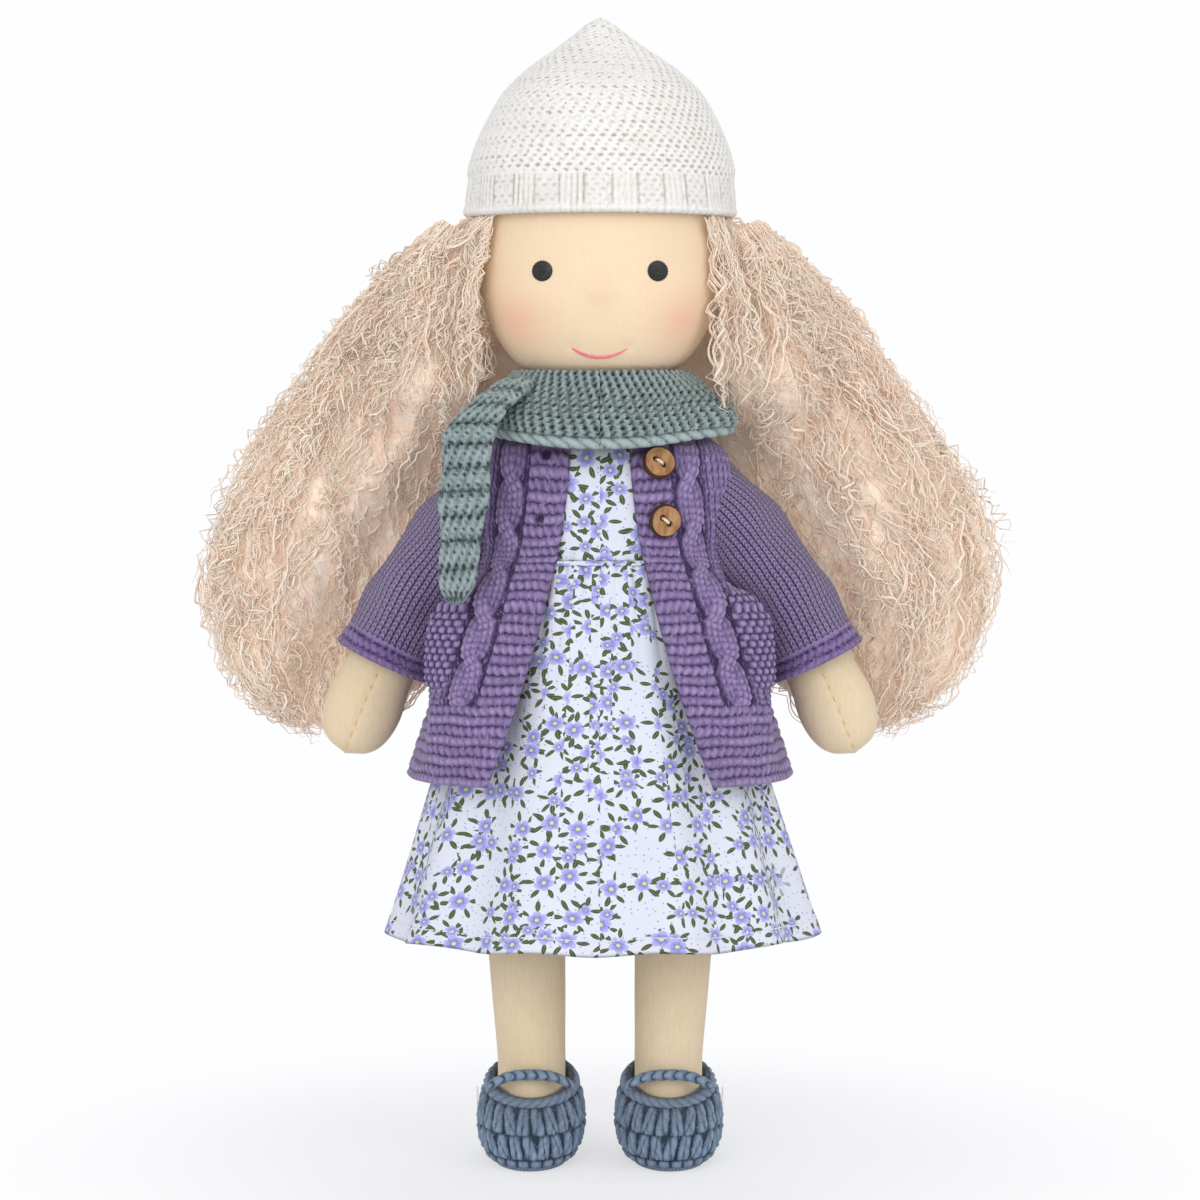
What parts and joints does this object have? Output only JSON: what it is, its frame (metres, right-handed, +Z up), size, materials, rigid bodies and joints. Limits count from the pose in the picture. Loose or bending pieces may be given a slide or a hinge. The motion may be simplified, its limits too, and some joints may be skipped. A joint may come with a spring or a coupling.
{
  "type": "waldorf doll",
  "caption": "Soft cloth waldorf doll with a plain round face, long curled hair, pointed knitted hat, scarf, cardigan, printed dress and crocheted strap shoes.",
  "frame": {"origin": "centre of the standing doll's footprint box, on the floor under the shoe soles", "axes": "+Z up along the standing doll, -Y is where the face looks, +X is the doll's left side"},
  "size_m": [0.2698, 0.1058, 0.38],
  "materials": {
    "skin": "matte cotton jersey",
    "stuffing_wool": "matte wool fleece",
    "tie_cord": "matte cotton cord",
    "stitch_black": "satin stitch",
    "mouth_thread": "satin stitch",
    "hair_yarn": "curled mohair yarn",
    "hat_yarn": "knitted wool",
    "scarf_yarn": "crocheted wool",
    "cardigan_yarn": "knitted wool",
    "dress_cotton": "printed cotton",
    "button_wood": "waxed wood with a burnt rim",
    "button_thread": "cotton thread",
    "shoe_yarn": "crocheted wool",
    "tab_tape": "woven tape"
  },
  "bodies": {
    "torso": {"torso_skin": "skin", "torso_stuffing": "stuffing_wool", "dress_bodice": "dress_cotton", "dress_skirt": "dress_cotton", "cardigan_back": "cardigan_yarn", "cardigan_front_left": "cardigan_yarn", "cardigan_front_right": "cardigan_yarn", "pocket_left": "cardigan_yarn", "pocket_right": "cardigan_yarn", "button_upper": "button_wood", "button_lower": "button_wood", "button_thread_upper": "button_thread", "button_thread_lower": "button_thread", "scarf_wrap": "scarf_yarn"},
    "head": {"head_skin": "skin", "head_core": "stuffing_wool", "neck_tie": "tie_cord", "eye_left": "stitch_black", "eye_right": "stitch_black", "mouth": "mouth_thread", "wig_cap": "hair_yarn", "hair_left": "hair_yarn", "hair_right": "hair_yarn", "hair_back": "hair_yarn"},
    "hat": {"hat": "hat_yarn"},
    "scarf_end": {"scarf_tail": "scarf_yarn"},
    "arm_left": {"arm_skin_left": "skin", "arm_stuffing_left": "stuffing_wool", "sleeve_left": "cardigan_yarn"},
    "leg_left": {"leg_skin_left": "skin", "leg_stuffing_left": "stuffing_wool", "shoe_sole_left": "shoe_yarn", "shoe_upper_left": "shoe_yarn", "strap_tab_left": "tab_tape"},
    "strap_left": {"shoe_strap_left": "shoe_yarn"},
    "arm_right": {"arm_skin_right": "skin", "arm_stuffing_right": "stuffing_wool", "sleeve_right": "cardigan_yarn"},
    "leg_right": {"leg_skin_right": "skin", "leg_stuffing_right": "stuffing_wool", "shoe_sole_right": "shoe_yarn", "shoe_upper_right": "shoe_yarn", "strap_tab_right": "tab_tape"},
    "strap_right": {"shoe_strap_right": "shoe_yarn"}
  },
  "joints": [
    {"name": "neck_turn", "type": "hinge", "parent": "torso", "child": "head", "pos_m": [0, 0, 0.249], "axis": [0, 0, 1], "range_deg": [-30, 30], "deforming": ["hair_left", "hair_right", "hair_back"]},
    {"name": "hat_lift", "type": "slide", "parent": "head", "child": "hat", "axis": [0, 0, 1], "range_m": [0, 0.09]},
    {"name": "scarf_tail_swing", "type": "hinge", "parent": "torso", "child": "scarf_end", "pos_m": [-0.035, -0.0275, 0.2585], "axis": [-1, 0, 0], "range_deg": [0, 50]},
    {"name": "shoulder_left", "type": "hinge", "parent": "torso", "child": "arm_left", "pos_m": [0.038, 0, 0.215], "axis": [-1, 0, 0], "range_deg": [-30, 70]},
    {"name": "hip_left", "type": "hinge", "parent": "torso", "child": "leg_left", "pos_m": [0.025, 0, 0.141], "axis": [-1, 0, 0], "range_deg": [0, 90], "deforming": ["dress_skirt", "cardigan_back", "cardigan_front_left", "cardigan_front_right", "pocket_left", "pocket_right"]},
    {"name": "strap_left", "type": "hinge", "parent": "leg_left", "child": "strap_left", "pos_m": [0.0105, -0.0142, 0.0245], "axis": [0, 0, -1], "range_deg": [0, 70]},
    {"name": "shoulder_right", "type": "hinge", "parent": "torso", "child": "arm_right", "pos_m": [-0.038, 0, 0.215], "axis": [-1, 0, 0], "range_deg": [-30, 70]},
    {"name": "hip_right", "type": "hinge", "parent": "torso", "child": "leg_right", "pos_m": [-0.025, 0, 0.141], "axis": [-1, 0, 0], "range_deg": [0, 90]},
    {"name": "strap_right", "type": "hinge", "parent": "leg_right", "child": "strap_right", "pos_m": [-0.0105, -0.0142, 0.0245], "axis": [0, 0, 1], "range_deg": [0, 70]}
  ],
  "couplings": [
    {"joint": "hip_right", "follows": "hip_left", "ratio": 1}
  ]
}
